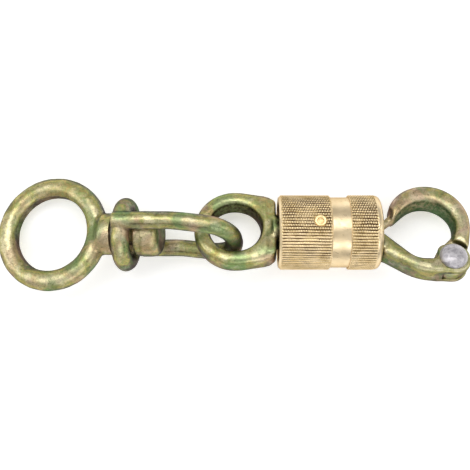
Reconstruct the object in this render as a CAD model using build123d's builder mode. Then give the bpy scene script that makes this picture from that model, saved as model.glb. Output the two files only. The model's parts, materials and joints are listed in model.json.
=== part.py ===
from build123d import *
from math import cos, radians, sin, sqrt, tan
import os

os.makedirs("parts", exist_ok=True)

# Ring swivel with a quick-release snap hook, lying on a flat surface at Z = 0.
# +X runs from the big ring to the hook, +Z is up. All sizes are in millimetres.

# ---- where the chain of links lies ----
eye_x = 1.59                # centre of the swivel eye's hole
axis_y = 0.6                # the barrel's axis
axis_z = 14.2
hook_roll = 30              # the hook lies turned about the barrel's axis
eye_roll = 28
bow_roll = 25               # the bow's legs stand this far from upright
bow_pitch = 7               # the bow rises from its hub towards the eye
bow_y = axis_y - 0.8
ring_pitch = 12.5           # the ring's plane rises towards the stem
ring_tilt = 14

# ---- barrel ----
barrel_left = eye_x + 16.3
barrel_right = eye_x + 54.5
shoulder_x = eye_x + 35.7   # right end of the knurled grip
collar_left = eye_x + 42.6
knurl_r = 14.15
seat_r = 13.35              # turned-down seat that the collar slides over
recess_r = 11.4
recess_depth = 2.0
core_r = 9.7
running_gap = 0.08
travel = 6.5                # how far the collar slides back
collar_wall = 3.2           # the collar's end wall
seat_end = barrel_right - collar_wall - travel - 0.3
pocket_r = 12.1             # bore of the seat, around the spring
pocket_left = eye_x + 38.0

# ---- swivel eye and its shank ----
eye_outer_r = 15.5
eye_hole_r = 10.2
eye_rise = 0.5              # the eye is forged a little off its shank's axis
eye_thick = 8.4
eye_bar_thick = 10.2
eye_right = 15.6
eye_half_height = 13.0      # half the height of the eye's flat side
eye_corner_r = 4.8
eye_round = 1.6
shank_r = 4.5
shoulder_r = 6.5
bush_r = 7.6
bush_length = 5.0
washer_thick = 1.2
peen_r = 6.9
peen_length = 3.4

# ---- hook ----
jaw_thick = 9.4
rivet_x = 80.2
rivet_y = -12.9
rivet_r = 3.0
slot_width = 4.3
tang_thick = 4.0
jaw_round = 1.3
lug_r = 6.2
slot_r = 6.9
jaw_end_gap_r = 7.6         # the movable jaw's full thickness ends on this arc
tongue_thick = 4.4

# ---- bow ----
bow_wire_r = 3.45
bow_half = 12.3             # half the spacing of the leg centre lines
hub_r = 10.5
hub_wire_r = 3.6
hub_to_bend = 28.7
bend_x = eye_x - 12.6
hub_z = 15.1

# ---- ring and stem ----
ring_r = 18.27
ring_wire_r = 4.12
land_half = 1.7             # half the width of the flat land inside the ring
ring_x = eye_x - 70.2
ring_y = axis_y - 0.6
stem_r = 4.4
neck_r = 8.1
head_r = 8.4
head_length = 9.4
head_x = eye_x - 32.3


def round_plane(x):
    """Plane across the barrel's axis at x, for sections of the barrel."""
    return Plane(origin=(x, axis_y, axis_z), x_dir=(0, 1, 0), z_dir=(1, 0, 0))


def rolled_plane(roll, lift=0.0):
    """Plane along the barrel's axis, turned about it; lift moves it along its normal."""
    normal = (0, sin(radians(roll)), cos(radians(roll)))
    return Plane(origin=(eye_x, axis_y, axis_z), x_dir=(1, 0, 0), z_dir=normal).offset(lift)


barrel_axis = Axis((0, axis_y, axis_z), (1, 0, 0))
profile_plane = Plane(origin=(0, axis_y, axis_z), x_dir=(1, 0, 0), z_dir=(0, -1, 0))


def turned(points):
    """A sketch of a turned piece: points are (x, radius) round a closed outline."""
    with BuildSketch(profile_plane) as outline:
        with BuildLine():
            Polyline(*points, close=True)
        make_face()
    return outline.sketch


# ======================================================================
# Fixed brass grip: knurled head, and the smooth seat the collar slides on
# ======================================================================
pin_x = eye_x + 31.2
pin_r = 2.0
pin_angle = 18.5
pin_depth = 5.0

with BuildPart() as barrel_body:
    revolve(
        turned([
            (barrel_left, recess_r), (barrel_left, knurl_r - 0.8), (barrel_left + 0.8, knurl_r),
            (shoulder_x, knurl_r), (shoulder_x, seat_r), (seat_end, seat_r),
            (seat_end, pocket_r), (pocket_left, pocket_r), (pocket_left, core_r),
            (barrel_left + recess_depth, core_r), (barrel_left + recess_depth, recess_r),
        ]),
        axis=barrel_axis,
    )
    shoulder_edge = barrel_body.edges().filter_by(GeomType.CIRCLE).group_by(
        lambda e: round(e.radius, 2)
    )[-1].sort_by(Axis.X)[-1]
    fillet(shoulder_edge, 0.7)
    pin_plane = Plane(
        origin=(pin_x, axis_y, axis_z), x_dir=(1, 0, 0),
        z_dir=(0, sin(radians(pin_angle)), cos(radians(pin_angle))),
    )
    with BuildSketch(pin_plane.offset(core_r - pin_depth)):
        Circle(pin_r)
    extrude(amount=knurl_r, mode=Mode.SUBTRACT)
barrel_body.part.label = "barrel_body"
export_step(barrel_body.part, "parts/barrel_body.step")

# Pin through the grip into the core; its outer end is punched to a shallow dimple.
with BuildPart() as barrel_pin:
    with BuildSketch(pin_plane.offset(core_r - pin_depth)):
        Circle(pin_r)
    extrude(amount=knurl_r - 0.35 - core_r + pin_depth)
    chamfer(barrel_pin.faces().sort_by(Axis.Z)[0].edges(), 0.4)
    with BuildSketch(pin_plane.offset(knurl_r - 0.35)):
        Circle(1.3)
    extrude(amount=-0.6, taper=35, mode=Mode.SUBTRACT)
barrel_pin.part.label = "barrel_pin"
export_step(barrel_pin.part, "parts/barrel_pin.step")

# ======================================================================
# Sliding collar, its spring and the ring the spring stands on
# ======================================================================
with BuildPart() as release_collar:
    revolve(
        turned([
            (collar_left, seat_r + running_gap), (collar_left, knurl_r),
            (barrel_right - 2.4, knurl_r), (barrel_right - 0.7, knurl_r - 1.0),
            (barrel_right, knurl_r - 2.4), (barrel_right, core_r + running_gap),
            (barrel_right - collar_wall, core_r + running_gap),
            (barrel_right - collar_wall, seat_r + running_gap),
        ]),
        axis=barrel_axis,
    )
release_collar.part.label = "release_collar"
export_step(release_collar.part, "parts/release_collar.step")

seat_ring_thick = 0.6
with BuildPart() as spring_seat:
    with BuildSketch(round_plane(pocket_left)):
        Circle(pocket_r - 0.1)
        Circle(core_r + 0.1, mode=Mode.SUBTRACT)
    extrude(amount=seat_ring_thick)
spring_seat.part.label = "spring_seat"
export_step(spring_seat.part, "parts/spring_seat.step")

spring_r = 10.95
spring_wire_r = 0.6
spring_turns = 5
spring_left = pocket_left + seat_ring_thick + spring_wire_r + 0.05
spring_right = barrel_right - collar_wall - spring_wire_r - 0.05
spring_length = spring_right - spring_left
with BuildPart() as return_spring:
    with BuildLine() as coil:
        Helix(
            pitch=spring_length / spring_turns, height=spring_length, radius=spring_r,
            center=(spring_left, axis_y, axis_z), direction=(1, 0, 0),
        )
    with BuildSketch(Plane(origin=coil.line @ 0, z_dir=coil.line % 0)):
        Circle(spring_wire_r)
    sweep(path=coil.line, is_frenet=True)
return_spring.part.label = "return_spring"
export_step(return_spring.part, "parts/return_spring.step")

# ======================================================================
# Hook body: core inside the barrel and the fixed jaw, one forging
# ======================================================================
hook_plane = rolled_plane(hook_roll)
core_left = barrel_left + recess_depth
core_right = 54.9           # from the eye's centre: a shoulder that stops the collar
cavity_right = 29.0
mouth_x = 50.6              # left wall of the pocket for the movable jaw's tongue
mouth_floor = 0.2

with BuildPart() as hook_core:
    with BuildSketch(round_plane(core_left)):
        Circle(core_r)
    extrude(amount=eye_x + core_right - core_left)
    # Cavity for the swivel shank's bush, washer and peened end.
    with BuildSketch(round_plane(core_left)):
        Circle(bush_r)
    extrude(amount=eye_x + cavity_right - core_left, mode=Mode.SUBTRACT)
    with BuildSketch(pin_plane.offset(core_r - pin_depth)):
        Circle(pin_r)
    extrude(amount=knurl_r, mode=Mode.SUBTRACT)

jaw_bottom = hook_plane.offset(-jaw_thick / 2)
lug_x = rivet_x + 0.5
lug_y = rivet_y - 0.5
throat_floor = -12.9
root_left = core_right - 2.0
root_low = -10.8
with BuildPart() as fixed_jaw:
    with BuildSketch(jaw_bottom):
        corners = [
            ((root_left, root_low), 0), ((root_left, 0.45), 0),
            ((67.2, throat_floor), 7.0), ((74.6, throat_floor), 2.0),
            ((lug_x - lug_r + 0.4, lug_y + lug_r), 3.2), ((lug_x + lug_r, lug_y + lug_r), 5.6),
            ((lug_x + lug_r, lug_y - lug_r), 5.9), ((67.5, -18.6), 22.0),
            ((core_right + 0.3, root_low), 0),
        ]
        with BuildLine():
            Polyline(*[point for point, radius in corners], close=True)
        make_face()
        for point, radius in corners:
            if radius > 0:
                corner = jaw_bottom.from_local_coords((*point, 0))
                fillet(vertices().sort_by_distance(corner)[0], radius)
    extrude(amount=jaw_thick)
    rims = fixed_jaw.faces().filter_by(hook_plane).edges()
    outside = rims.filter_by(lambda e: hook_plane.to_local_coords(e.center()).X > core_right)
    fillet(outside, jaw_round)
    # The jaw leaves the core inside the round of the collar's bore.
    with BuildSketch(round_plane(eye_x + root_left - 1)):
        Rectangle(4 * knurl_r, 4 * knurl_r)
        Circle(core_r - 0.05, mode=Mode.SUBTRACT)
    extrude(amount=core_right - root_left + 1, mode=Mode.SUBTRACT)
    # Slot between the two ears for the movable jaw's tang.
    with BuildSketch(hook_plane.offset(-slot_width / 2)):
        with Locations((rivet_x, rivet_y)):
            Circle(slot_r)
            Rectangle(3 * slot_r, 3 * slot_r, align=(Align.MIN, Align.MIN))
            Rectangle(3 * slot_r, slot_r, align=(Align.MIN, Align.MAX))
    extrude(amount=slot_width, mode=Mode.SUBTRACT)
    with BuildSketch(hook_plane.offset(-jaw_thick)):
        with Locations((rivet_x, rivet_y)):
            Circle(rivet_r)
    extrude(amount=2 * jaw_thick, mode=Mode.SUBTRACT)

with BuildPart() as hook_body:
    add(hook_core.part)
    add(fixed_jaw.part)
    # Pocket that lets the movable jaw's tongue swing out.
    with BuildSketch(hook_plane.offset(-core_r - 1)):
        with Locations((mouth_x, mouth_floor)):
            Rectangle(core_right - mouth_x + 0.5, core_r + 2, align=(Align.MIN, Align.MIN))
    extrude(amount=2 * core_r + 2, mode=Mode.SUBTRACT)
hook_body.part.label = "hook_body"
export_step(hook_body.part, "parts/hook_body.step")

# ======================================================================
# Movable jaw: bow-shaped arm, tongue into the barrel, tang between the ears
# ======================================================================
tongue_left = 51.2
tang_r = 6.2
arm_centre = (73.2, 2.9)
arm_outer_r = 15.8
throat_centre = (72.6, 1.2)
throat_r = 10.5
with BuildPart() as movable_jaw:
    with BuildSketch(hook_plane.offset(-jaw_thick / 2)):
        with BuildLine():
            top = CenterArc(arm_centre, arm_outer_r, start_angle=157, arc_size=-169)
            heel_line = PolarLine(top @ 1, 8.6, direction=top % 1)
            under = CenterArc(throat_centre, throat_r, start_angle=-22, arc_size=153.6)
            toe_line = PolarLine(under @ 0, -3.6, direction=under % 0)
            Line(heel_line @ 1, toe_line @ 1)
            lead = PolarLine(under @ 1, 8.2, direction=under % 1)
            Polyline(lead @ 1, (60.2, 6.2), top @ 0)
        make_face()
        with Locations((rivet_x, rivet_y)):
            Circle(jaw_end_gap_r, mode=Mode.SUBTRACT)
    extrude(amount=jaw_thick)
    rims = movable_jaw.faces().filter_by(hook_plane).edges()
    fillet(rims.filter_by(GeomType.CIRCLE).filter_by(lambda e: e.radius > throat_r - 1), jaw_round)
    # Thin tongue that the collar covers when the hook is shut.
    with BuildSketch(hook_plane.offset(-tongue_thick / 2)):
        with BuildLine():
            Polyline(
                (tongue_left, 0.6), (55.6, 0.7), (59.4, 3.6), (63.0, 7.6),
                (60.0, 8.0), (56.2, 4.1), (tongue_left, 4.1), close=True,
            )
        make_face()
    extrude(amount=tongue_thick)
    # Tang that turns on the rivet between the fixed jaw's ears.
    with BuildSketch(hook_plane.offset(-tang_thick / 2)):
        with BuildLine():
            Polyline(
                (rivet_x - 4.0, rivet_y + 4.6), (81.6, -3.0), (84.0, 0.5), (87.0, -2.0),
                (86.9, -9.5), (rivet_x + 4.0, rivet_y - 4.0), (rivet_x - 4.0, rivet_y - 4.0),
                close=True,
            )
        make_face()
        with Locations((rivet_x, rivet_y)):
            Circle(tang_r)
    extrude(amount=tang_thick)
    with BuildSketch(hook_plane.offset(-jaw_thick)):
        with Locations((rivet_x, rivet_y)):
            Circle(rivet_r + running_gap)
    extrude(amount=2 * jaw_thick, mode=Mode.SUBTRACT)
movable_jaw.part.label = "movable_jaw"
export_step(movable_jaw.part, "parts/movable_jaw.step")

# Rivet: domed head on the upper side, smaller peened tail below.
rivet_plane = Plane(
    origin=hook_plane.from_local_coords((rivet_x, rivet_y, 0)),
    x_dir=hook_plane.x_dir, z_dir=hook_plane.y_dir * -1,
)
rivet_axis = Axis(rivet_plane.origin, hook_plane.z_dir)
head_dome_r = 5.25
head_dome_h = 2.7
tail_r = 4.6
tail_h = 1.7
half = jaw_thick / 2
with BuildPart() as jaw_rivet:
    with BuildSketch(rivet_plane):
        with BuildLine():
            Line((0, half + head_dome_h), (0, -half - tail_h))
            Spline(
                (0, -half - tail_h), (tail_r * 0.62, -half - tail_h * 0.78), (tail_r, -half),
                tangents=((1, 0), (0.25, 1)),
            )
            Polyline((tail_r, -half), (rivet_r, -half), (rivet_r, half), (head_dome_r, half))
            Spline(
                (head_dome_r, half), (head_dome_r * 0.7, half + head_dome_h * 0.74),
                (0, half + head_dome_h), tangents=((-0.12, 1), (-1, 0)),
            )
        make_face()
    revolve(axis=rivet_axis)
jaw_rivet.part.label = "jaw_rivet"
export_step(jaw_rivet.part, "parts/jaw_rivet.step")

# ======================================================================
# Swivel eye with its shank, and what holds the shank in the core
# ======================================================================
eye_plane = rolled_plane(eye_roll)
bush_left = core_left
bush_right = bush_left + bush_length
washer_left = bush_right + 0.3
peen_left = washer_left + washer_thick
side_length = (eye_right - eye_outer_r * cos(radians(80))) / cos(radians(10))
with BuildPart() as swivel_eye:
    with BuildSketch(eye_plane.offset(-eye_thick / 2)):
        with BuildLine():
            crown = CenterArc((0, eye_rise), eye_outer_r, start_angle=80, arc_size=200)
            upper_side = PolarLine(crown @ 0, -side_length, direction=crown % 0)
            lower_side = PolarLine(crown @ 1, side_length, direction=crown % 1)
            Line(upper_side @ 1, lower_side @ 1)
        make_face()
        fillet(vertices().group_by(Axis.X)[-1], eye_corner_r)
    extrude(amount=eye_thick)
    fillet(swivel_eye.faces().filter_by(eye_plane).edges(), eye_round)
    # The bar at the shank side is thicker than the rest of the eye.
    with BuildSketch(eye_plane.offset(-eye_bar_thick / 2)):
        with Locations((eye_right - 3.0, eye_rise)):
            RectangleRounded(6.0, 2 * eye_half_height - 2.4, 2.2)
    extrude(amount=eye_bar_thick)
    levels = swivel_eye.faces().filter_by(eye_plane).sort_by(Axis(eye_plane.origin, eye_plane.z_dir))
    fillet([*levels[0].edges(), *levels[-1].edges()], 0.8)
    with BuildSketch(eye_plane.offset(-eye_thick)):
        with Locations((0, eye_rise)):
            Circle(eye_hole_r)
    extrude(amount=2 * eye_thick, mode=Mode.SUBTRACT)
    shank_start = eye_x + eye_right - 1.5
    with BuildSketch(round_plane(shank_start)):
        Circle(shoulder_r)
    extrude(amount=core_left - 0.4 - shank_start)
    with BuildSketch(round_plane(shank_start)):
        Circle(shank_r)
    extrude(amount=peen_left - shank_start)
    with BuildSketch(round_plane(peen_left)):
        Circle(peen_r)
    extrude(amount=peen_length)
    chamfer(swivel_eye.faces().sort_by(Axis.X)[-1].edges(), 0.9)
swivel_eye.part.label = "swivel_eye"
export_step(swivel_eye.part, "parts/swivel_eye.step")

with BuildPart() as swivel_bush:
    with BuildSketch(round_plane(bush_left)):
        Circle(bush_r)
        Circle(shank_r + running_gap, mode=Mode.SUBTRACT)
    extrude(amount=bush_length)
swivel_bush.part.label = "swivel_bush"
export_step(swivel_bush.part, "parts/swivel_bush.step")

with BuildPart() as thrust_washer:
    with BuildSketch(round_plane(washer_left)):
        Circle(peen_r + 0.2)
        Circle(shank_r, mode=Mode.SUBTRACT)
    extrude(amount=washer_thick)
thrust_washer.part.label = "thrust_washer"
export_step(thrust_washer.part, "parts/thrust_washer.step")

# ======================================================================
# Swivel bow: long link through the eye, forged and welded to its hub ring
# ======================================================================
pitch = radians(bow_pitch)
roll = radians(bow_roll)
bow_along = Vector(cos(pitch), 0, sin(pitch))
bow_across = Vector(-sin(pitch) * cos(roll), sin(roll), cos(pitch) * cos(roll))
bow_origin = Vector(bend_x, bow_y, hub_z + hub_to_bend * sin(pitch))
bow_plane = Plane(origin=bow_origin, x_dir=bow_along, z_dir=bow_along.cross(bow_across))
sag = 2.0                   # the bend is set over to one side of the legs
drop = 1.2
leg_end = -hub_to_bend - 2.6
bend_start = -9.0
with BuildPart() as swivel_bow:
    with BuildLine(bow_plane) as bow_path:
        FilletPolyline(
            (leg_end, bow_half, 0), (bend_start, bow_half, 0),
            (bow_half, bow_half - drop, sag), (bow_half, -bow_half - drop, sag),
            (bend_start, -bow_half, 0), (leg_end, -bow_half, 0),
            radius=[40, 10.6, 10.6, 40],
        )
    with BuildSketch(Plane(origin=bow_path.line @ 0, z_dir=bow_path.line % 0)):
        Circle(bow_wire_r)
    sweep(path=bow_path.line)
    hub_plane = Plane(
        origin=bow_plane.from_local_coords((-hub_to_bend, 0, 0)), x_dir=bow_across, z_dir=bow_along
    )
    with Locations(hub_plane):
        Torus(hub_r, hub_wire_r)
swivel_bow.part.label = "swivel_bow"
export_step(swivel_bow.part, "parts/swivel_bow.step")

# ======================================================================
# Ring with its stem: the stem turns in the hub, held by its upset head
# ======================================================================
ring_normal = Vector(
    -sin(radians(ring_pitch)) * cos(radians(ring_tilt)), sin(radians(ring_tilt)),
    cos(radians(ring_pitch)) * cos(radians(ring_tilt)),
)
ring_z = ring_wire_r + ring_r * sqrt(1 - ring_normal.Z ** 2)
ring_centre = Vector(ring_x, ring_y, ring_z)
hub_x = bend_x - hub_to_bend * cos(pitch)
head_centre = Vector(head_x, bow_y + 0.15, hub_z + (head_x - hub_x) * tan(pitch))
stem_along = (head_centre - ring_centre).normalized()
stem_plane = Plane(origin=ring_centre, x_dir=(0, 1, 0), z_dir=stem_along)
head_at = (head_centre - ring_centre).length
neck_left = 20.6            # from the ring's centre, along the stem
neck_right = 25.0
ring_plane = Plane(
    origin=ring_centre, x_dir=stem_along - ring_normal * stem_along.dot(ring_normal),
    z_dir=ring_normal,
)
flare_plane = Plane(
    origin=ring_plane.from_local_coords((ring_r - 1.0, 0, 0)), x_dir=ring_plane.y_dir,
    z_dir=ring_plane.x_dir,
)
ring_bore_r = ring_r - sqrt(ring_wire_r ** 2 - land_half ** 2)
with BuildPart() as ring_eye:
    with Locations(ring_plane):
        Torus(ring_r, ring_wire_r)
    with BuildSketch(flare_plane):
        Ellipse(11.0, 3.6)
    with BuildSketch(stem_plane.offset(neck_left)):
        Circle(neck_r)
    loft()
    with BuildSketch(ring_plane.offset(-land_half - 1)):
        Circle(ring_bore_r)
    extrude(amount=2 * land_half + 2, mode=Mode.SUBTRACT)
    with BuildSketch(stem_plane.offset(neck_left)):
        Circle(neck_r)
    extrude(amount=neck_right - neck_left)
    with BuildSketch(stem_plane.offset(neck_right)):
        Circle(stem_r)
    extrude(amount=head_at - head_length / 2 - neck_right)
    with BuildSketch(stem_plane.offset(head_at - head_length / 2)):
        Circle(head_r)
    extrude(amount=head_length)
    head_faces = ring_eye.faces().filter_by(GeomType.PLANE).sort_by(Axis(ring_centre, stem_along))
    chamfer(head_faces[-1].edges(), 1.6)
ring_eye.part.label = "ring_eye"
export_step(ring_eye.part, "parts/ring_eye.step")

pieces = [
    barrel_body, barrel_pin, release_collar, spring_seat, return_spring, hook_body, movable_jaw,
    jaw_rivet, swivel_eye, swivel_bush, thrust_washer, swivel_bow, ring_eye,
]
whole = Compound(children=[piece.part for piece in pieces]).bounding_box()
print("low", whole.min, "high", whole.max)
print("ring bore centre", ring_centre, "axis", ring_normal, "radius", ring_bore_r)
print("stem axis", stem_along, "bow bend", bow_origin, "bow hinge", bow_plane.z_dir)
print("rivet", rivet_plane.origin, "axis", hook_plane.z_dir)
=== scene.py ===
import json
import math

import bpy
import numpy as np
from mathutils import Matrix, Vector


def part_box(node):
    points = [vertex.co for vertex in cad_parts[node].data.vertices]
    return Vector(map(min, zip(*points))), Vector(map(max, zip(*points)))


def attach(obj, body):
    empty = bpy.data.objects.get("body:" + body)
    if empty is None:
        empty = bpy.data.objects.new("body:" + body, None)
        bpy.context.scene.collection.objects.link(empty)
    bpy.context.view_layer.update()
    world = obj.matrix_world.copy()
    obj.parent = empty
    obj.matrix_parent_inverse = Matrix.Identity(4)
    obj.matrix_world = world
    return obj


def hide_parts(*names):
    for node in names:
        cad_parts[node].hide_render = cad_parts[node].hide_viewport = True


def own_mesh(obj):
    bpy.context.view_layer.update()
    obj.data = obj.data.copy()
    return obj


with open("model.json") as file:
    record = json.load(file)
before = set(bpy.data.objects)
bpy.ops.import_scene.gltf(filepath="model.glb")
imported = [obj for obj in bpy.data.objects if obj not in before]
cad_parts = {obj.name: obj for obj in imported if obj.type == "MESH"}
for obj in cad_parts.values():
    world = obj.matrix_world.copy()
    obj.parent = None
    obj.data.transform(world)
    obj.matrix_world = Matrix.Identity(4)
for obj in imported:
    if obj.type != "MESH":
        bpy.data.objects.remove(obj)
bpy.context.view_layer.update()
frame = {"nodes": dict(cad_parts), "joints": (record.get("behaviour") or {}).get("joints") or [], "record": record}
NODES = frame["nodes"]
MM = 0.001

# ---------------------------------------------------------------- sizes from the frame
GRIP_LOW, GRIP_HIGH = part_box("barrel_body")
COLLAR_LOW, COLLAR_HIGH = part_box("release_collar")
RING_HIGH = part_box("ring_eye")[1]
BOW_LOW, BOW_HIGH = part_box("swivel_bow")
AXIS_Y = (COLLAR_LOW.y + COLLAR_HIGH.y) / 2
AXIS_Z = (COLLAR_LOW.z + COLLAR_HIGH.z) / 2
KNURL_R = (COLLAR_HIGH.y - COLLAR_LOW.y) / 2


# ---------------------------------------------------------------- node helpers
class Shader:
    """Small wrapper that builds one node material."""

    def __init__(self, name):
        self.mat = bpy.data.materials.new(name)
        self.mat.use_nodes = True
        self.tree = self.mat.node_tree
        self.tree.nodes.clear()
        self.out = self.node("ShaderNodeOutputMaterial")
        self.bsdf = self.node("ShaderNodeBsdfPrincipled")
        self.link(self.bsdf, "BSDF", self.out, "Surface")
        self.coord = self.node("ShaderNodeTexCoord")

    def node(self, kind, **values):
        made = self.tree.nodes.new(kind)
        for key, value in values.items():
            setattr(made, key, value)
        return made

    def link(self, a, out, b, into):
        self.tree.links.new(a.outputs[out], b.inputs[into])

    def noise(self, scale, detail=3.0, rough=0.55, distortion=0.0, stretch=None, offset=(0, 0, 0)):
        made = self.node("ShaderNodeTexNoise")
        made.inputs["Scale"].default_value = scale
        made.inputs["Detail"].default_value = detail
        made.inputs["Roughness"].default_value = rough
        made.inputs["Distortion"].default_value = distortion
        place = self.node("ShaderNodeMapping")
        place.inputs["Location"].default_value = offset
        if stretch:
            place.inputs["Scale"].default_value = stretch
        self.link(self.coord, "Object", place, "Vector")
        self.link(place, "Vector", made, "Vector")
        return made

    def ramp(self, source, out, stops):
        made = self.node("ShaderNodeValToRGB")
        made.color_ramp.elements[0].position = stops[0][0]
        made.color_ramp.elements[0].color = (*stops[0][1], 1)
        made.color_ramp.elements[1].position = stops[-1][0]
        made.color_ramp.elements[1].color = (*stops[-1][1], 1)
        for place, colour in stops[1:-1]:
            made.color_ramp.elements.new(place).color = (*colour, 1)
        self.link(source, out, made, "Fac")
        return made

    def mix(self, kind, fac, a, b):
        """Mixes two colours; fac, a and b are numbers, colours or (node, output) pairs."""
        made = self.node("ShaderNodeMix", data_type="RGBA", blend_type=kind)
        for index, value in ((0, fac), (6, a), (7, b)):
            if isinstance(value, tuple) and hasattr(value[0], "outputs"):
                self.tree.links.new(value[0].outputs[value[1]], made.inputs[index])
            elif index == 0:
                made.inputs[0].default_value = value
            else:
                made.inputs[index].default_value = (*value, 1)
        return made

    def span(self, source, out, low, high, to_low, to_high):
        made = self.node("ShaderNodeMapRange")
        made.inputs["From Min"].default_value = low
        made.inputs["From Max"].default_value = high
        made.inputs["To Min"].default_value = to_low
        made.inputs["To Max"].default_value = to_high
        self.link(source, out, made, "Value")
        return made

    def bump(self, source, out, strength, distance, before=None):
        made = self.node("ShaderNodeBump")
        made.inputs["Strength"].default_value = strength
        made.inputs["Distance"].default_value = distance
        self.link(source, out, made, "Height")
        if before:
            self.link(before, "Normal", made, "Normal")
        return made

    def attribute(self, name):
        return self.node("ShaderNodeAttribute", attribute_name=name)


def chromate(name, seed, tint, pink, wall_shade_and_seam_colour=(0.035, 0.028, 0.016), bloom=0.50):
    """Yellow-passivated zinc on forged steel, with painted shade and painted sheen: light gold where it faces up,
    through green to darker mauve at the sides.

    pink is the strength of the rose patches, and a lower bloom spreads them further. The colour after pink
    is painted shade on the inner walls and the core that the attribute "inner" marks, and the dark of the bow's
    parting line.
    """
    s = Shader(name)
    film = s.noise(120, 4, 0.6, 0.9, offset=(seed, 0.3 * seed, -0.2 * seed))
    # Painted shade and painted sheen: the ramp below makes faces that point up light gold and the sides dark green
    # and mauve, with some random drift of the film.
    side = s.attribute("side")
    drift = s.span(film, "Fac", 0.3, 0.7, -0.36, 0.24)
    around = s.node("ShaderNodeMath", operation="ADD")
    s.link(side, "Fac", around, 0)
    s.link(drift, "Result", around, 1)
    film_and_facing_shade = s.ramp(around, 0, [
        (0.02, (0.080, 0.092, 0.088)), (0.18, (0.170, 0.150, 0.140)), (0.32, (0.150, 0.215, 0.105)),
        (0.44, (0.300, 0.230, 0.165)), (0.54, (0.265, 0.320, 0.115)), (0.64, (0.500, 0.410, 0.170)),
        (0.74, (0.380, 0.430, 0.180)), (0.84, (0.600, 0.520, 0.280)), (0.94, (0.560, 0.570, 0.330)),
        (1.0, (0.720, 0.670, 0.450)),
    ])
    rose = s.noise(75, 3, 0.5, 0.8, offset=(-seed, seed, 2 * seed))
    rose_fac = s.span(rose, "Fac", bloom, bloom + 0.16, 0.0, pink)
    warm = s.mix("MIX", (rose_fac, "Result"), (film_and_facing_shade, "Color"), (0.540, 0.365, 0.285))
    teal = s.noise(88, 3, 0.5, 0.7, offset=(2 * seed, -seed, seed))
    teal_fac = s.span(teal, "Fac", 0.53, 0.66, 0.0, 0.65)
    cool = s.mix("MIX", (teal_fac, "Result"), (warm, 2), (0.150, 0.300, 0.130))
    grey = s.noise(260, 5, 0.7, 0.2, offset=(seed, seed, seed))
    grey_fac = s.span(grey, "Fac", 0.52, 0.78, 0.0, 0.5)
    worn = s.mix("MIX", (grey_fac, "Result"), (cool, 2), (0.72, 0.68, 0.56))
    shape = s.attribute("shape")
    # Lighter colour on convex edges: partly edge wear, partly a painted highlight.
    edge_wear_and_glint_fac = s.span(shape, "Fac", 0.58, 0.85, 0.0, 0.6)
    edge_worn_and_lit = s.mix("MIX", (edge_wear_and_glint_fac, "Result"), (worn, 2), (0.80, 0.75, 0.58))
    # Painted shade: hollows of the mesh and spots that the ambient occlusion finds are darkened towards near
    # black.
    crease_shade_fac = s.span(shape, "Fac", 0.47, 0.30, 0.0, 0.97)
    hollow = s.node("ShaderNodeAmbientOcclusion", only_local=True, samples=8)
    hollow.inputs["Distance"].default_value = 3.0 * MM
    shade = s.span(hollow, "AO", 0.86, 0.42, 0.0, 0.95)
    crease_and_occlusion_shade = s.node("ShaderNodeMath", operation="MAXIMUM")
    s.link(crease_shade_fac, "Result", crease_and_occlusion_shade, 0)
    s.link(shade, "Result", crease_and_occlusion_shade, 1)
    ragged = s.span(s.noise(700, 4, 0.7, 0.4, offset=(seed, 2, 7)), "Fac", 0.38, 0.60, 0.55, 1.0)
    # Painted shade on inner walls and the core, and the bow's dark parting line, where the attribute "inner" marks
    # them.
    wall = s.node("ShaderNodeMath", operation="MULTIPLY")
    s.link(s.attribute("inner"), "Fac", wall, 0)
    s.link(ragged, "Result", wall, 1)
    wall_shade_and_seam_mixed = s.mix("MIX", (wall, 0), (edge_worn_and_lit, 2), wall_shade_and_seam_colour)
    # Painted shade in hollows and occluded spots, near black.
    crease_shaded = s.mix("MIX", (crease_and_occlusion_shade, 0), (wall_shade_and_seam_mixed, 2), (0.022, 0.018, 0.012))
    speck = s.noise(1100, 3, 0.6, 0.0, offset=(0, seed, 0))
    speck_fac = s.span(speck, "Fac", 0.58, 0.72, 0.0, 0.65)
    specked = s.mix("MIX", (speck_fac, "Result"), (crease_shaded, 2), (0.12, 0.10, 0.05))
    sand = s.ramp(s.noise(1500, 4, 0.7, 0.3, offset=(seed, 0, 1)), "Fac", [
        (0.34, (0.68, 0.68, 0.68)), (0.50, (0.88, 0.88, 0.88)), (0.66, (1.0, 1.0, 1.0)),
    ])
    sanded = s.mix("MULTIPLY", 1.0, (specked, 2), (sand, "Color"))
    final = s.mix("MULTIPLY", 1.0, (sanded, 2), tint)
    s.link(final, 2, s.bsdf, "Base Color")
    s.bsdf.inputs["Metallic"].default_value = 0.88
    s.bsdf.inputs["Specular Tint"].default_value = (0.34, 0.30, 0.32, 1)
    rough = s.noise(320, 4, 0.6, 0.3, offset=(seed, 1, 2))
    amount = s.span(rough, "Fac", 0.3, 0.7, 0.31, 0.50)
    s.link(amount, "Result", s.bsdf, "Roughness")
    dents = s.bump(s.noise(420, 3, 0.55, 0.2, offset=(1, seed, 3)), "Fac", 0.45, 0.30 * MM)
    grain = s.bump(s.noise(2400, 3, 0.6), "Fac", 0.42, 0.08 * MM, before=dents)
    s.link(grain, "Normal", s.bsdf, "Normal")
    return s.mat


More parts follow.
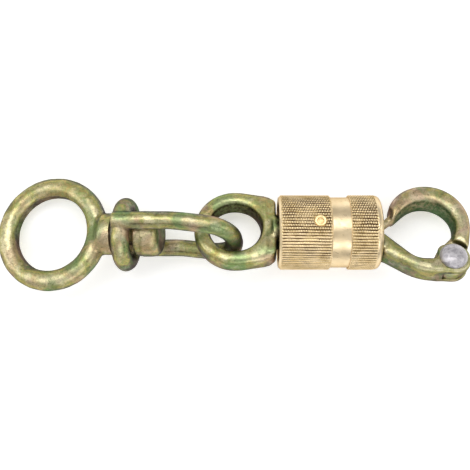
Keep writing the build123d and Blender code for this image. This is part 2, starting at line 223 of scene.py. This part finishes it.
def brass(name, seed, dull=(0.52, 0.39, 0.200), crests=0.6):
    """Turned brass: bright crests, partly polish and partly painted highlight, brown dirt in the grooves of the
    knurl, painted shade on the recess surfaces, faint turning lines.
    """
    s = Shader(name)
    cloud = s.noise(140, 4, 0.6, 0.4, offset=(seed, 0, seed))
    tone = s.ramp(cloud, "Fac", [
        (0.32, (0.50, 0.34, 0.135)), (0.46, (0.76, 0.56, 0.265)), (0.58, (0.90, 0.69, 0.385)), (0.74, dull),
    ])
    groove = s.attribute("groove")
    patch = s.noise(170, 3, 0.6, 0.5, offset=(seed, 5, 1))
    patchiness = s.span(patch, "Fac", 0.36, 0.62, 0.55, 1.0)
    depth = s.node("ShaderNodeMath", operation="MULTIPLY")
    s.link(groove, "Fac", depth, 0)
    s.link(patchiness, "Result", depth, 1)
    # Dark brown in the knurl's grooves is dirt; on the recess surfaces, which carry the full groove value, it is
    # painted shade.
    dark_fac = s.span(depth, 0, 0.18, 0.60, 0.0, 0.97)
    groove_dirt_and_recess_shade = s.mix("MIX", (dark_fac, "Result"), (tone, "Color"), (0.080, 0.042, 0.022))
    # Bright colour where the groove value is low: polish on the crests, partly a painted highlight.
    crest_polish_and_highlight_fac = s.span(groove, "Fac", 0.14, 0.0, 0.0, crests)
    crest_polish_and_highlight = s.mix("MIX", (crest_polish_and_highlight_fac, "Result"), (groove_dirt_and_recess_shade, 2), (1.0, 0.83, 0.57))
    blot = s.noise(420, 4, 0.7, 0.5, offset=(0, seed, 2))
    blot_fac = s.span(blot, "Fac", 0.60, 0.74, 0.0, 0.6)
    blotted = s.mix("MIX", (blot_fac, "Result"), (crest_polish_and_highlight, 2), (0.20, 0.13, 0.06))
    s.link(blotted, 2, s.bsdf, "Base Color")
    s.bsdf.inputs["Metallic"].default_value = 0.92
    s.bsdf.inputs["Specular Tint"].default_value = (0.45, 0.38, 0.30, 1)
    amount = s.span(s.noise(380, 3, 0.6, offset=(seed, 2, 0)), "Fac", 0.3, 0.7, 0.26, 0.44)
    s.link(amount, "Result", s.bsdf, "Roughness")
    turning = s.bump(s.noise(900, 3, 0.6, stretch=(3.2, 0.12, 0.12)), "Fac", 0.30, 0.10 * MM)
    pits = s.bump(s.noise(2200, 3, 0.6, offset=(3, 0, seed)), "Fac", 0.20, 0.06 * MM, before=turning)
    s.link(pits, "Normal", s.bsdf, "Normal")
    return s.mat


def plain_steel(name, seed, light, dark, rough_low, rough_high, dent=0.3):
    """Bare steel with mottled tone, fine scratches and small dents."""
    s = Shader(name)
    cloud = s.noise(420, 5, 0.65, 0.5, offset=(seed, seed, 0))
    tone = s.ramp(cloud, "Fac", [(0.34, dark), (0.50, light), (0.66, dark)])
    stain = s.noise(160, 3, 0.6, 0.3, offset=(0, seed, 1))
    stain_fac = s.span(stain, "Fac", 0.55, 0.75, 0.0, 0.45)
    toned = s.mix("MIX", (stain_fac, "Result"), (tone, "Color"), (0.36, 0.31, 0.24))
    s.link(toned, 2, s.bsdf, "Base Color")
    s.bsdf.inputs["Metallic"].default_value = 0.95
    amount = s.span(s.noise(500, 4, 0.6, offset=(seed, 0, 5)), "Fac", 0.3, 0.7, rough_low, rough_high)
    s.link(amount, "Result", s.bsdf, "Roughness")
    dents = s.bump(s.noise(700, 3, 0.6, 0.2), "Fac", dent, 0.2 * MM)
    grain = s.bump(s.noise(3000, 3, 0.6), "Fac", 0.2, 0.05 * MM, before=dents)
    s.link(grain, "Normal", s.bsdf, "Normal")
    return s.mat


# ---------------------------------------------------------------- mesh helpers
BROAD_DENT = 5.0 * MM
FINE_DENT = 1.6 * MM
FINE_SHARE = 0.3
WELD_GAP = 0.004 * MM
BEND_GAIN = 2.6             # how strongly a bend moves the attribute "shape" away from 0.5


def mesh_arrays(mesh):
    """Places and normals of the vertices, and the two vertices of each edge."""
    co = np.empty(len(mesh.vertices) * 3)
    mesh.vertices.foreach_get("co", co)
    normal = np.empty(len(mesh.vertices) * 3)
    mesh.vertices.foreach_get("normal", normal)
    edges = np.empty(len(mesh.edges) * 2, int)
    mesh.edges.foreach_get("vertices", edges)
    return co.reshape(-1, 3), normal.reshape(-1, 3), edges.reshape(-1, 2)


def spread(values, edges, times):
    """Averages a value per vertex with its neighbours a few times."""
    count = np.bincount(edges.ravel(), minlength=len(values)).astype(float)
    for _ in range(times):
        total = np.bincount(edges[:, 0], values[edges[:, 1]], len(values))
        total += np.bincount(edges[:, 1], values[edges[:, 0]], len(values))
        values = 0.5 * values + 0.5 * total / np.maximum(count, 1)
    return values


def step_up(value, low, high):
    """0 below low, 1 above high, and a smooth step between them."""
    t = np.clip((value - low) / (high - low), 0, 1)
    return t * t * (3 - 2 * t)


def set_attribute(mesh, name, values):
    """Stores one number per vertex, for a material to read."""
    made = mesh.attributes.new(name, "FLOAT", "POINT")
    made.data.foreach_set("value", values.astype(np.float32))


def neighbour_mean(co, edges):
    """The mean place of each vertex's neighbours."""
    count = np.maximum(np.bincount(edges.ravel(), minlength=len(co)), 1).astype(float)
    mean = np.empty_like(co)
    for k in range(3):
        mean[:, k] = np.bincount(edges[:, 0], co[edges[:, 1], k], len(co))
        mean[:, k] += np.bincount(edges[:, 1], co[edges[:, 0], k], len(co))
    return mean / count[:, None]


def round_off(mesh, times, weight, swell):
    """Rounds the sections of a forging where weight(co) is 1, then swells it back by a fixed amount."""
    co, _, edges = mesh_arrays(mesh)
    share = weight(co)[:, None]
    for _ in range(times):
        co = co + share * 0.5 * (neighbour_mean(co, edges) - co)
    mesh.vertices.foreach_set("co", co.ravel())
    mesh.update()
    normal = mesh_arrays(mesh)[1]
    mesh.vertices.foreach_set("co", (co + normal * share * swell).ravel())
    mesh.update()


def keep_inside(mesh, node):
    """Draws a skin in to the box of the CAD node that it replaces."""
    low, high = (np.array(corner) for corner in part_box(node))
    co = mesh_arrays(mesh)[0]
    skin_low, skin_high = co.min(0), co.max(0)
    low = np.maximum(low, skin_low)
    high = np.minimum(high, skin_high)
    co = low + (co - skin_low) * (high - low) / (skin_high - skin_low)
    mesh.vertices.foreach_set("co", co.ravel())
    mesh.update()


def shape_attribute(mesh, voxel):
    """Sets "shape", 0.5 on flats, near 1 on outer edges and near 0 in hollows, and "side", 1 on top; the chromate
    paints shade and highlights from them.
    """
    co, normal, edges = mesh_arrays(mesh)
    bend = np.einsum("ij,ij->i", co - neighbour_mean(co, edges), normal) / voxel
    bend = spread(bend, edges, 5)
    set_attribute(mesh, "shape", np.clip(0.5 + bend * BEND_GAIN, 0, 1))
    set_attribute(mesh, "side", spread(np.abs(normal[:, 2]), edges, 2))


def add_piece(name, mesh, body, slot, material, *nodes):
    """Adds a smooth-shaded piece that rides on a body and stands for the given CAD nodes."""
    made = bpy.data.objects.new(name, mesh)
    bpy.context.scene.collection.objects.link(made)
    mesh.materials.clear()
    mesh.materials.append(material)
    mesh.polygons.foreach_set("use_smooth", np.ones(len(mesh.polygons), bool))
    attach(made, body)
    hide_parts(*nodes)
    return made


def forged(
        node, body, slot, material, voxel=0.36 * MM, soften=7, dents=0.22 * MM, rounding=None, inner=None):
    """A softened copy of a CAD forging with a slightly uneven, hammered skin.

    rounding holds the last three values of round_off. inner(co, normal) marks with 1 the inner walls and the core
    that get painted shade, and the bow's parting line.
    """
    source = NODES[node]
    copy = bpy.data.objects.new(node + "_work", source.data.copy())
    bpy.context.scene.collection.objects.link(copy)
    weld = copy.modifiers.new("weld", "WELD")
    weld.merge_threshold = WELD_GAP
    remesh = copy.modifiers.new("remesh", "REMESH")
    remesh.mode = "VOXEL"
    remesh.voxel_size = voxel
    smooth = copy.modifiers.new("smooth", "SMOOTH")
    smooth.factor = 0.5
    smooth.iterations = soften
    for size, strength in ((BROAD_DENT, dents), (FINE_DENT, FINE_SHARE * dents)):
        cloud = bpy.data.textures.new(f"{node}_{size:.4f}", "CLOUDS")
        cloud.noise_scale = size
        cloud.noise_depth = 1
        wave = copy.modifiers.new("dents", "DISPLACE")
        wave.texture = cloud
        wave.texture_coords = "LOCAL"
        wave.mid_level = 1.0
        wave.strength = strength
    bpy.context.view_layer.update()
    evaluated = copy.evaluated_get(bpy.context.evaluated_depsgraph_get())
    mesh = bpy.data.meshes.new_from_object(evaluated)
    bpy.data.objects.remove(copy)
    if rounding:
        round_off(mesh, *rounding)
    keep_inside(mesh, node)
    shape_attribute(mesh, voxel)
    co, normal, edges = mesh_arrays(mesh)
    shade = inner(co, normal) if inner else np.zeros(len(co))
    set_attribute(mesh, "inner", spread(np.clip(shade, 0, 1), edges, 2))
    return add_piece(node + "_skin", mesh, body, slot, material, node)


def lathe(name, profile, segments, shape):
    """Closed ring mesh from (x, radius, tag) points; shape(x, angle, radius, tag) gives radius and groove."""
    x = np.array([p[0] for p in profile])
    r = np.array([p[1] for p in profile])
    tag = np.array([p[2] for p in profile])
    angle = np.arange(segments) * 2 * math.pi / segments
    xx, aa = np.meshgrid(x, angle, indexing="ij")
    rr = np.repeat(r[:, None], segments, 1)
    tt = np.repeat(tag[:, None], segments, 1)
    radius, groove = shape(xx, aa, rr, tt)
    co = np.stack([xx, AXIS_Y + radius * np.sin(aa), AXIS_Z + radius * np.cos(aa)], -1).reshape(-1, 3)
    rows = np.arange(len(profile))[:, None] * segments
    cols = np.arange(segments)[None, :]
    next_rows = np.roll(rows, -1, 0)
    next_cols = np.roll(cols, -1, 1)
    faces = np.stack([rows + cols, next_rows + cols, next_rows + next_cols, rows + next_cols], -1)
    mesh = bpy.data.meshes.new(name)
    mesh.from_pydata(co.tolist(), [], faces.reshape(-1, 4).tolist())
    mesh.update()
    set_attribute(mesh, "groove", groove.ravel())
    return mesh


def dense(start, end, radius_from, radius_to, step, tag):
    """Profile points about a step apart along a straight run, without its last point."""
    count = max(2, int(abs(end - start) / step))
    return [
        (start + (end - start) * k / count, radius_from + (radius_to - radius_from) * k / count, tag)
        for k in range(count)
    ]


# ---------------------------------------------------------------- knurl
TEETH = 78
STEPS_PER_TOOTH = 6
SEGMENTS = TEETH * STEPS_PER_TOOTH
TEETH_DRIFT = 9.1           # teeth that the knurl runs out by over a metre
VALLEY_STEEPNESS = 1.7
CROSS_PITCH = 0.92 * MM
CROSS_STEEPNESS = 2.6
KNURL_DEPTH = 0.40 * MM
CREST_WEAR = 0.03 * MM
PIN_X = GRIP_LOW.x + 14.9 * MM
PIN_ANGLE = math.radians(18.5)
DISH_R = 1.9 * MM
DISH_EDGE = 1.0 * MM
DISH_DEPTH = 0.62 * MM
DISH_SHADE = 0.27
RECESS_SHADE_TAG = -1                 # profile tag of a surface painted dark all over as shade

rng = np.random.default_rng(7)
WAVES = [(rng.uniform(-900, 900), rng.integers(2, 40), rng.uniform(0, 6.28)) for _ in range(24)]


def unevenness(xx, aa):
    """A smooth random field over the barrel, about as often above 0 as below."""
    total = np.zeros_like(xx)
    for along, around, phase in WAVES:
        total += np.sin(along * xx + around * aa + phase)
    return total / len(WAVES) ** 0.5


def knurl(xx, aa, rr, tt):
    """Straight knurl, cross cut on its upper side, with the pin's dish.

    Tag 1 marks the knurled band, tags below 1 fade it out, and the recess tag marks a surface painted dark all
    over as shade.
    """
    wobble = unevenness(xx, aa)
    phase = aa * TEETH / (2 * math.pi) + 0.05 * wobble + TEETH_DRIFT * (xx - GRIP_LOW.x)
    tooth = 1 - np.abs(2 * (phase % 1) - 1)
    valley = np.clip(1 - tooth * VALLEY_STEEPNESS, 0, 1)
    cross = (xx / CROSS_PITCH + 0.06 * wobble + 0.5 * np.floor(phase)) % 1
    cut = np.clip(1 - np.abs(2 * cross - 1) * CROSS_STEEPNESS, 0, 1)
    cut_share = 0.15 + 0.75 * step_up(np.sin(aa), -0.12, 0.22)
    groove = np.clip(valley + cut_share * cut, 0, 1) * np.clip(tt, 0, 1)
    depth = KNURL_DEPTH * groove + CREST_WEAR * (1 + np.clip(wobble, -1, 1)) * (tt > 0)
    # Painted shade: recess surfaces take the full groove value and come out dark.
    groove = np.where(tt == RECESS_SHADE_TAG, 1.0, groove)
    away = np.hypot(xx - PIN_X, rr * (aa - PIN_ANGLE))
    outside = (rr > KNURL_R - 1.2 * MM) * (xx < COLLAR_LOW.x)
    dish = (1 - step_up(away, DISH_R, DISH_R + DISH_EDGE)) * outside
    radius = rr - depth * (1 - dish) - dish * DISH_DEPTH
    return radius, groove * (1 - dish) + DISH_SHADE * dish


# ---------------------------------------------------------------- brass grip and collar
SHOULDER_X = GRIP_LOW.x + 19.4 * MM
POCKET_X = GRIP_LOW.x + 21.7 * MM
RECESS_X = GRIP_LOW.x + 2.0 * MM
WALL_X = COLLAR_HIGH.x - 3.2 * MM
SEAT_R = 13.33 * MM
SPRING_POCKET_R = 12.12 * MM
CORE_BORE_R = 9.72 * MM
FACE_RECESS_R = 11.4 * MM
COLLAR_BORE_R = 13.45 * MM
MOUTH_R = 9.80 * MM
NOSE_R = 2.2 * MM           # the collar's rounded outer edge
NOSE_START_R = KNURL_R - 0.1 * MM
KNURL_STEP = 0.2 * MM


def grip_profile():
    """The grip's section, from its left face over the knurl and the smooth seat, and back inside."""
    left = GRIP_LOW.x
    right = GRIP_HIGH.x
    # The face recess here and the core bore further down carry the tag that paints them dark as shade.
    face = [
        (left + 0.3 * MM, FACE_RECESS_R, RECESS_SHADE_TAG), (left, FACE_RECESS_R + 0.3 * MM, 0),
        (left, KNURL_R - 1.3 * MM, 0), (left, KNURL_R - 0.9 * MM, 0),
    ]
    bevel = dense(left + 0.05 * MM, left + 0.9 * MM, KNURL_R - 0.85 * MM, KNURL_R - 0.02 * MM, 0.14 * MM, 0)
    fade_in = dense(left + 0.9 * MM, left + 1.3 * MM, KNURL_R, KNURL_R, 0.1 * MM, 0.6)
    knurled = dense(left + 1.3 * MM, SHOULDER_X - 0.8 * MM, KNURL_R, KNURL_R, KNURL_STEP, 1)
    shoulder = [
        (SHOULDER_X - 0.6 * MM, KNURL_R - 0.02 * MM, 0.6), (SHOULDER_X - 0.25 * MM, KNURL_R - 0.15 * MM, 0.2),
        (SHOULDER_X - 0.05 * MM, KNURL_R - 0.45 * MM, 0),
        (SHOULDER_X, SEAT_R + 0.03 * MM, 0), (SHOULDER_X + 0.1 * MM, SEAT_R, 0),
    ]
    seat = dense(SHOULDER_X + 0.2 * MM, right - 0.3 * MM, SEAT_R, SEAT_R, 2 * KNURL_STEP, 0)
    inside = [
        (right, SEAT_R - 0.13 * MM, 0), (right, SPRING_POCKET_R, 0), (POCKET_X, SPRING_POCKET_R, 0),
        (POCKET_X, CORE_BORE_R, RECESS_SHADE_TAG), (RECESS_X, CORE_BORE_R, RECESS_SHADE_TAG), (RECESS_X, FACE_RECESS_R, RECESS_SHADE_TAG),
    ]
    return face + bevel + fade_in + knurled + shoulder + seat + inside


def collar_profile():
    """The collar's section, from its left face over the knurl and the rounded nose, and back inside."""
    left = COLLAR_LOW.x
    right = COLLAR_HIGH.x
    nose_x = right - NOSE_R
    face = [
        (left, COLLAR_BORE_R, 0), (left, KNURL_R - 0.35 * MM, 0), (left + 0.08 * MM, KNURL_R - 0.12 * MM, 0),
        (left + 0.2 * MM, KNURL_R - 0.02 * MM, 0.5),
    ]
    knurled = dense(left + 0.35 * MM, nose_x - 0.3 * MM, KNURL_R, KNURL_R, KNURL_STEP, 1)
    fade_out = [(nose_x - 0.22 * MM, KNURL_R - 0.02 * MM, 0.5), (nose_x, NOSE_START_R, 0)]
    nose = [
        (nose_x + NOSE_R * math.sin(a), NOSE_START_R - NOSE_R * (1 - math.cos(a)), 0)
        for a in np.linspace(0.15, 1.5, 10)
    ]
    inside = [
        (right, KNURL_R - 2.6 * MM, 0), (right, MOUTH_R, 0), (WALL_X, MOUTH_R, 0), (WALL_X, COLLAR_BORE_R, 0),
    ]
    return face + knurled + fade_out + nose + inside


brass_grip = brass("brass_grip", 3.0)
brass_collar = brass("brass_collar", 8.0)
grip_mesh = lathe("knurled_grip", grip_profile(), SEGMENTS, knurl)
collar_mesh = lathe("knurled_collar", collar_profile(), SEGMENTS, knurl)
add_piece("knurled_grip", grip_mesh, "hook", "grip_brass", brass_grip, "barrel_body")
add_piece("knurled_collar", collar_mesh, "collar", "collar_brass", brass_collar, "release_collar")

# ---------------------------------------------------------------- steel forgings
def facing(co, normal, centre, axis):
    """How far each point faces in towards an axis, from -1 to 1, and its distance from the axis."""
    axis = np.array(axis) / np.linalg.norm(axis)
    away = co - np.array(centre)
    away = away - np.outer(away @ axis, axis)
    distance = np.linalg.norm(away, axis=1)
    return -np.einsum("ij,ij->i", normal, away) / np.maximum(distance, 1e-6), distance


PIVOT = Vector(next(j["pos_m"] for j in frame["joints"] if j["name"] == "jaw_hinge"))
BORE = next(m for m in frame["record"]["mounts"] if m["name"] == "ring_bore")
HOOK_NORMAL = (0, math.sin(math.radians(30)), math.cos(math.radians(30)))
EYE_NORMAL = (0, math.sin(math.radians(28)), math.cos(math.radians(28)))
EYE_CENTRE = (GRIP_LOW.x - 16.3 * MM, AXIS_Y, AXIS_Z)
JAW_CENTRE = (COLLAR_HIGH.x + 18.1 * MM, AXIS_Y + 1.0 * MM, AXIS_Z - 0.6 * MM)
EYE_REACH = 12 * MM         # inner walls lie nearer their axis than this
JAW_REACH = 12.5 * MM
RING_REACH = 15.6 * MM


def arm_only(co):
    """1 on the movable jaw's curved arm, 0 at its tongue and at the rivet's joint."""
    near_pivot = np.hypot(co[:, 0] - PIVOT.x, co[:, 1] - PIVOT.y)
    past_tongue = step_up(co[:, 0], COLLAR_HIGH.x + 3 * MM, COLLAR_HIGH.x + 7 * MM)
    return past_tongue * step_up(near_pivot, 8 * MM, 10.5 * MM)


def lower_arm_only(co):
    """1 on the fixed jaw's arm, 0 on the core and at the rivet's joint."""
    near_pivot = np.hypot(co[:, 0] - PIVOT.x, co[:, 1] - PIVOT.y)
    past_core = step_up(co[:, 0], COLLAR_HIGH.x, COLLAR_HIGH.x + 4 * MM)
    return past_core * step_up(near_pivot, 7 * MM, 9 * MM)


def head_only(co):
    """1 on the upset head of the ring's stem."""
    return step_up(co[:, 0], RING_HIGH.x - 9.2 * MM, RING_HIGH.x - 7.6 * MM)


def eye_only(co):
    """1 on the eye, 0 on its shank."""
    return 1 - step_up(co[:, 0], GRIP_LOW.x - 5.5 * MM, GRIP_LOW.x - 3.5 * MM)


def eye_wall_shade(co, normal):
    """Painted shade on the wall of the eye's hole, and on the shank's shoulder in the gap beside the grip."""
    inward, distance = facing(co, normal, EYE_CENTRE, EYE_NORMAL)
    hole = step_up(inward, 0.62, 0.88) * (distance < EYE_REACH)
    gap = step_up(co[:, 0], GRIP_LOW.x - 1.7 * MM, GRIP_LOW.x - 0.4 * MM)
    return np.maximum(0.97 * hole, gap)


def jaw_wall_shade(co, normal):
    """Painted shade on the inner wall of the movable jaw's curve."""
    inward, distance = facing(co, normal, JAW_CENTRE, HOOK_NORMAL)
    return 0.9 * step_up(inward, 0.55, 0.85) * (distance < JAW_REACH)


def ring_wall_shade(co, normal):
    """Painted shade on the middle of the ring's inner wall."""
    inward, distance = facing(co, normal, BORE["pos_m"], BORE["axis"])
    return 0.72 * step_up(inward, 0.86, 0.99) * (distance < RING_REACH)


def bow_seam(co, normal):
    """The parting line along the bow's legs, on their lower front side."""
    line = 1 - step_up(np.abs(normal[:, 1] + 0.40), 0.03, 0.13)
    past_hub = step_up(co[:, 0], BOW_LOW.x + 6 * MM, BOW_LOW.x + 9 * MM)
    before_bend = 1 - step_up(co[:, 0], BOW_HIGH.x - 13 * MM, BOW_HIGH.x - 9 * MM)
    return 0.9 * line * past_hub * before_bend * (normal[:, 2] > 0)


def core_shade(co, normal):
    """Darkens the core, up to the collar's mouth."""
    return 1 - step_up(co[:, 0], COLLAR_HIGH.x - 0.6 * MM, COLLAR_HIGH.x + 0.5 * MM)


forged(
    "ring_eye", "ring", "ring_steel", chromate("ring_chromate", 1.7, (1.24, 1.20, 1.06), 0.55),
    rounding=(60, head_only, 0.35 * MM), inner=ring_wall_shade)
forged(
    "swivel_bow", "bow", "bow_steel", chromate("bow_chromate", 5.1, (1.14, 1.12, 1.02), 0.65),
    inner=bow_seam)
forged(
    "swivel_eye", "eye", "eye_steel", chromate("eye_chromate", 9.4, (1.22, 1.19, 1.02), 0.6),
    soften=10, dents=0.16 * MM, rounding=(110, eye_only, 0.42 * MM), inner=eye_wall_shade)
forged(
    "hook_body", "hook", "hook_steel", chromate("hook_chromate", 12.8, (1.05, 1.04, 0.94), 0.5),
    soften=10, dents=0.16 * MM, rounding=(90, lower_arm_only, 0.40 * MM), inner=core_shade)
forged(
    "movable_jaw", "jaw", "jaw_steel",
    # Its dark green colour is painted shade on the jaw's inner wall.
    chromate("jaw_chromate", 15.2, (1.26, 1.21, 1.14), 0.62, (0.026, 0.090, 0.030), 0.45),
    soften=10, dents=0.16 * MM, rounding=(110, arm_only, 0.42 * MM), inner=jaw_wall_shade)
forged(
    "jaw_rivet", "hook", "rivet_steel",
    plain_steel("rivet_bare", 4.0, (0.66, 0.635, 0.655), (0.38, 0.36, 0.39), 0.42, 0.56, 0.6),
    voxel=0.2 * MM, soften=4, dents=0.12 * MM)

# ---------------------------------------------------------------- small pieces kept as they are in CAD
grey = plain_steel("inner_steel", 2.0, (0.62, 0.62, 0.62), (0.42, 0.42, 0.43), 0.3, 0.5)
pin_metal = brass("pin_brass_metal", 6.0, (0.80, 0.62, 0.30), 0.0)
for node, material in (
    ("barrel_pin", pin_metal), ("swivel_bush", brass_grip), ("thrust_washer", grey), ("spring_seat", grey),
):
    NODES[node].data.materials.clear()
    NODES[node].data.materials.append(material)

spring_mesh = NODES["return_spring"].data.copy()
spring = add_piece("spring_coil", spring_mesh, "hook", "spring_steel", grey, "return_spring")
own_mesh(spring)

# ---------------------------------------------------------------- floor, light and camera
FLOOR_HALF = 1.2
FLOOR_Z = -0.3 * MM
CAMERA_PLACE = (1.59 * MM, -0.35 * MM, 321.2 * MM)
CAMERA_LENS = 61.9
SKY_STRENGTH = 0.42
FLOOR_GLOW = 0.42

floor_mesh = bpy.data.meshes.new("floor")
floor_corners = [(FLOOR_HALF * x, FLOOR_HALF * y, FLOOR_Z) for x, y in ((-1, -1), (1, -1), (1, 1), (-1, 1))]
floor_mesh.from_pydata(floor_corners, [], [(0, 1, 2, 3)])
floor = bpy.data.objects.new("floor", floor_mesh)
bpy.context.scene.collection.objects.link(floor)
pale = Shader("floor_pale")
tone = pale.ramp(pale.noise(18, 3), "Fac", [(0.2, (0.90, 0.90, 0.90)), (0.8, (0.92, 0.92, 0.92))])
pale.link(tone, "Color", pale.bsdf, "Base Color")
pale.bsdf.inputs["Roughness"].default_value = 0.9
pale.bsdf.inputs["Emission Color"].default_value = (1, 1, 1, 1)
pale.bsdf.inputs["Emission Strength"].default_value = FLOOR_GLOW
floor_mesh.materials.append(pale.mat)

world = bpy.data.worlds.new("studio")
bpy.context.scene.world = world
world.use_nodes = True
sky = world.node_tree.nodes["Background"]
sky.inputs["Color"].default_value = (1.0, 1.0, 1.0, 1)
sky.inputs["Strength"].default_value = SKY_STRENGTH


def softbox(name, place, width, depth, power):
    """A white area light that points at the origin."""
    data = bpy.data.lights.new(name, "AREA")
    data.shape = "RECTANGLE"
    data.size = width
    data.size_y = depth
    data.energy = power
    made = bpy.data.objects.new(name, data)
    made.location = place
    made.rotation_euler = (-Vector(place)).to_track_quat("-Z", "Y").to_euler()
    bpy.context.scene.collection.objects.link(made)


softbox("key", (-0.10, 0.30, 0.62), 0.62, 0.30, 1.9)
softbox("fill", (0.15, -0.42, 0.50), 0.6, 0.30, 0.9)
softbox("left", (-0.62, 0.0, 0.38), 0.25, 0.5, 0.7)
softbox("right", (0.62, 0.05, 0.40), 0.25, 0.5, 0.7)

camera_data = bpy.data.cameras.new("camera")
camera_data.lens = CAMERA_LENS
camera_data.sensor_width = 36.0
camera_data.clip_start = 0.01
camera = bpy.data.objects.new("camera", camera_data)
camera.location = CAMERA_PLACE
bpy.context.scene.collection.objects.link(camera)
bpy.context.scene.camera = camera
bpy.context.scene.view_settings.view_transform = "Standard"
